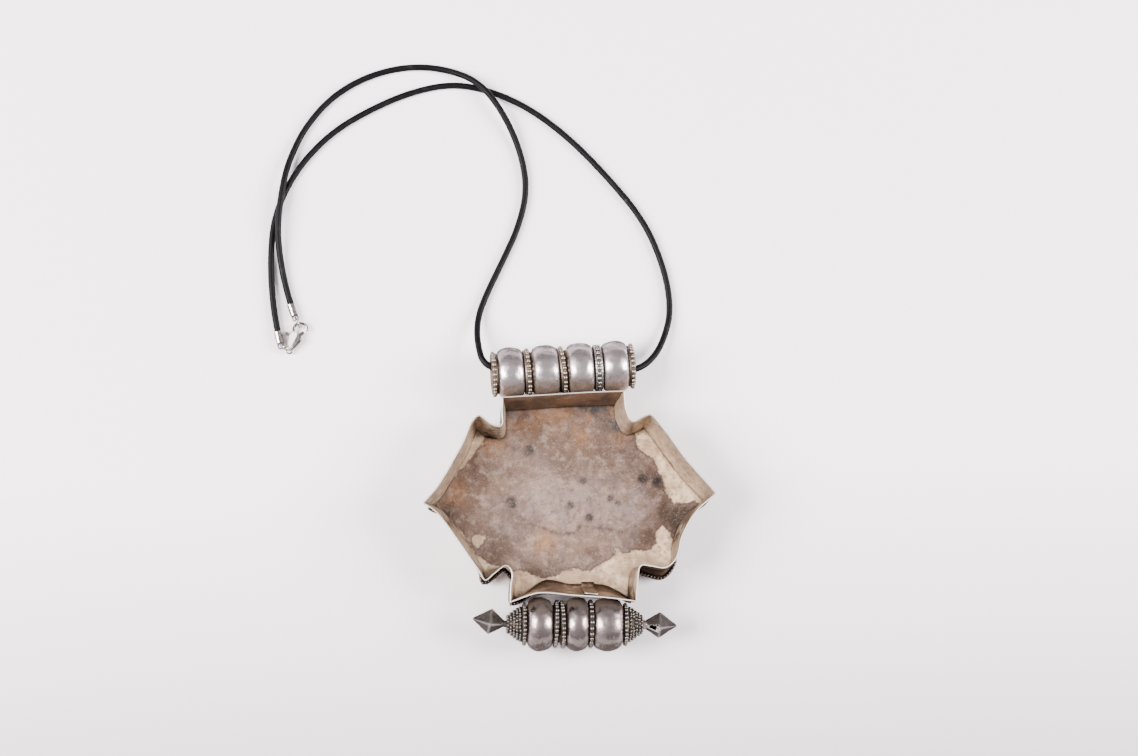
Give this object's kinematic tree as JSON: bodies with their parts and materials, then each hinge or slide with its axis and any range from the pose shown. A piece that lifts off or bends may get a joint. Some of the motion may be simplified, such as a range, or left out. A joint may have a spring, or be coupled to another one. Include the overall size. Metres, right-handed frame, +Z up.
{
  "type": "ghau amulet box",
  "caption": "Shallow ogee-sided amulet box, open at the back, with barrel tubes above and below, on a leather cord with a lobster clasp.",
  "frame": {"origin": "centre of the box and its two tubes in plan, on the surface that the box lies on face down", "axes": "+Z up out of the open back, +Y towards the hanger tube, +X to the right as seen from the open back"},
  "size_m": [0.134, 0.1871, 0.0198],
  "materials": {
    "oxidised_silver": "old sheet silver, oxidised brown and violet with pale worn patches",
    "worn_silver": "rubbed silver with soft highlights and brown toning",
    "dark_silver": "beaded silver, black in the recesses",
    "bright_metal": "bright plated metal",
    "leather": "black round leather, glossy",
    "turquoise": "polished stone",
    "coral": "polished stone"
  },
  "bodies": {
    "pendant": {"front_plate": "oxidised_silver", "wall_strip": "oxidised_silver", "base_bead_wire": "dark_silver", "front_border_wire": "dark_silver", "centre_bezel": "worn_silver", "centre_stone": "turquoise", "corner_bezels": "worn_silver", "corner_stones": "coral", "hanger_saddle": "oxidised_silver", "hanger_barrel_1": "worn_silver", "hanger_barrel_2": "worn_silver", "hanger_barrel_3": "worn_silver", "hanger_barrel_4": "worn_silver", "hanger_ring_1": "dark_silver", "hanger_ring_2": "dark_silver", "hanger_ring_3": "dark_silver", "hanger_ring_4": "dark_silver", "hanger_ring_5": "dark_silver", "foot_barrel_1": "worn_silver", "foot_barrel_2": "worn_silver", "foot_barrel_3": "worn_silver", "foot_ring_1": "dark_silver", "foot_ring_2": "dark_silver", "foot_ring_3": "dark_silver", "foot_ring_4": "dark_silver", "foot_ring_5": "dark_silver", "foot_cone_left": "dark_silver", "foot_cone_right": "dark_silver", "foot_finial_left": "dark_silver", "foot_finial_right": "dark_silver", "leather_cord": "leather", "cord_cap_a": "bright_metal", "cord_cap_b": "bright_metal"},
    "ring_a": {"jump_ring_a": "bright_metal"},
    "clasp": {"clasp_body": "bright_metal", "clasp_pin": "bright_metal", "clasp_spring": "bright_metal"},
    "trigger": {"clasp_trigger": "bright_metal"},
    "ring_b": {"jump_ring_b": "bright_metal"}
  },
  "joints": [
    {"name": "ring_a_swing", "type": "hinge", "parent": "pendant", "child": "ring_a", "pos_m": [-0.08592, 0.05035, 0.00125], "axis": [0, 0, 1], "range_deg": [-3, 10]},
    {"name": "clasp_swing", "type": "hinge", "parent": "ring_a", "child": "clasp", "pos_m": [-0.0834, 0.0489, 0.0013], "axis": [0, 0, 1], "range_deg": [-13, 3.9]},
    {"name": "trigger_pivot", "type": "hinge", "parent": "clasp", "child": "trigger", "pos_m": [-0.08163, 0.05249, 0.0013], "axis": [0, 0, 1], "range_deg": [0, 20], "stiffness_Nm_per_rad": 0.004, "springref_deg": -11.46},
    {"name": "ring_b_swing", "type": "hinge", "parent": "pendant", "child": "ring_b", "pos_m": [-0.08123, 0.05893, 0.00125], "axis": [0, 0, 1], "range_deg": [-3.6, 12]}
  ],
  "couplings": [
    {"joint": "clasp_swing", "follows": "ring_a_swing", "ratio": -1.3},
    {"joint": "ring_b_swing", "follows": "ring_a_swing", "ratio": 1.2}
  ]
}
